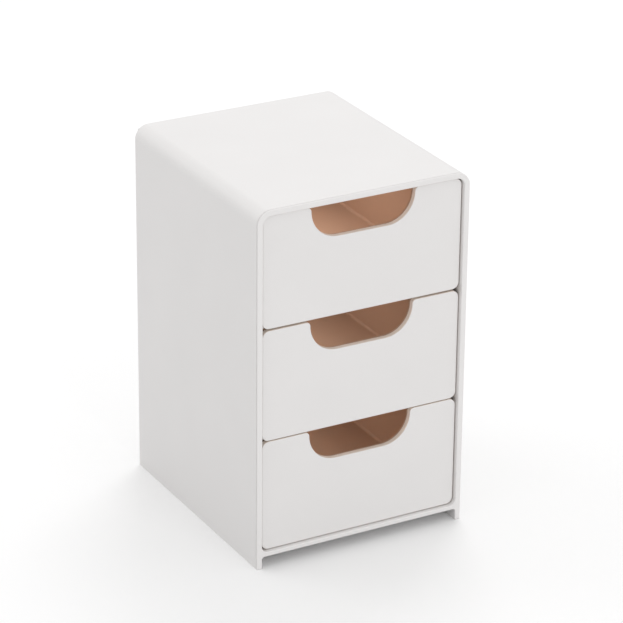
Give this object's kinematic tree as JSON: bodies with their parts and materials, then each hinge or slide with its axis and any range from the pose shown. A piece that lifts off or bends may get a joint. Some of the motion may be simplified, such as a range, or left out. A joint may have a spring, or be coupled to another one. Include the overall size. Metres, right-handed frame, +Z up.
{
  "type": "desktop mini drawers",
  "caption": "White plastic desktop cabinet on side skids with stacked pull-out brown trays, each with a flat white front notched at the top for a finger.",
  "frame": {"origin": "on the table, under the middle of the case", "axes": "+Z up, +Y towards the back panel, so the drawers open towards -Y; +X to the right as seen from the front"},
  "size_m": [0.08, 0.09, 0.13],
  "materials": {
    "case_plastic": "satin moulded white",
    "front_plastic": "satin moulded white",
    "tray_plastic": "satin moulded milk-coffee brown"
  },
  "bodies": {
    "case": {"case_shell": "case_plastic", "back_panel": "case_plastic", "lower_shelf": "case_plastic", "upper_shelf": "case_plastic"},
    "bottom_drawer": {"bottom_tray": "tray_plastic", "bottom_front": "front_plastic"},
    "middle_drawer": {"middle_tray": "tray_plastic", "middle_front": "front_plastic"},
    "top_drawer": {"top_tray": "tray_plastic", "top_front": "front_plastic"}
  },
  "joints": [
    {"name": "bottom_drawer_slide", "type": "slide", "parent": "case", "child": "bottom_drawer", "axis": [0, -1, 0], "range_m": [0, 0.07]},
    {"name": "middle_drawer_slide", "type": "slide", "parent": "case", "child": "middle_drawer", "axis": [0, -1, 0], "range_m": [0, 0.07]},
    {"name": "top_drawer_slide", "type": "slide", "parent": "case", "child": "top_drawer", "axis": [0, -1, 0], "range_m": [0, 0.07]}
  ]
}
